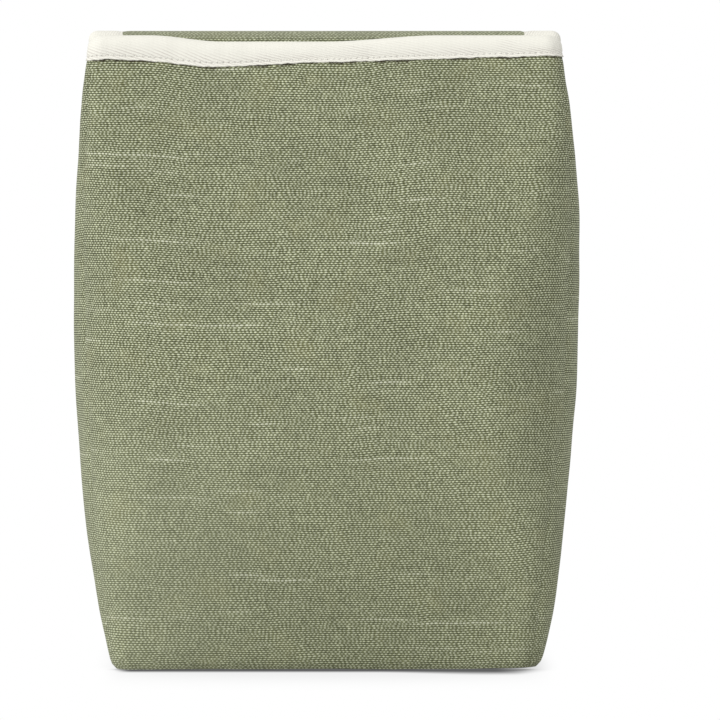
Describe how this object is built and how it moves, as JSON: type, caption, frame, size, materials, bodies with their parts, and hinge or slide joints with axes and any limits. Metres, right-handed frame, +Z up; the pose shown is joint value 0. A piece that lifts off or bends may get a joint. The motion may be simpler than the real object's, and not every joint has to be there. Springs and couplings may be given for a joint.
{
  "type": "insulated lunch bag",
  "caption": "Soft padded linen lunch bag with a box bottom, tucked gussets, a taped mouth and a fold-over flap thrown back behind it.",
  "frame": {"origin": "centre of the base, on the surface that the bag stands on", "axes": "+Z up, -Y out of the front wall, +X to the right of someone who faces the front"},
  "size_m": [0.221, 0.1597, 0.2754],
  "materials": {
    "linen": "matte",
    "tape": "matte",
    "foam": "matte",
    "lining": "satin",
    "magnet": "satin"
  },
  "bodies": {
    "bag": {"outer_front": "linen", "outer_back": "linen", "outer_left_gusset": "linen", "outer_right_gusset": "linen", "outer_base": "linen", "insulation_front": "foam", "insulation_back": "foam", "insulation_left_gusset": "foam", "insulation_right_gusset": "foam", "insulation_base": "foam", "lining_front": "lining", "lining_back": "lining", "lining_left_gusset": "lining", "lining_right_gusset": "lining", "lining_base": "lining", "back_facing": "linen", "mouth_binding": "tape", "front_magnet_left": "magnet", "front_magnet_right": "magnet"},
    "fold": {"fold_facing": "linen", "fold_outer": "linen", "fold_insulation": "foam", "fold_binding_left": "tape", "fold_binding_right": "tape"},
    "flap": {"flap_facing": "linen", "flap_outer": "linen", "flap_insulation": "foam", "flap_binding_left": "tape", "flap_binding_right": "tape"},
    "tip": {"tip_facing": "linen", "tip_outer": "linen", "tip_insulation": "foam", "tip_binding": "tape", "tip_magnet_left": "magnet", "tip_magnet_right": "magnet"}
  },
  "joints": [
    {"name": "fold_near_crease", "type": "hinge", "parent": "bag", "child": "fold", "pos_m": [0, 0.04738, 0.2733], "axis": [1, 0, 0], "range_deg": [0, 132.5]},
    {"name": "fold_far_crease", "type": "hinge", "parent": "fold", "child": "flap", "pos_m": [0, 0.06338, 0.2733], "axis": [1, 0, 0], "range_deg": [0, 132.5]},
    {"name": "tip_crease", "type": "hinge", "parent": "flap", "child": "tip", "pos_m": [0, 0.07953, 0.18171], "axis": [1, 0, 0], "range_deg": [0, 77]}
  ],
  "couplings": [
    {"joint": "fold_far_crease", "follows": "fold_near_crease", "ratio": 1}
  ]
}
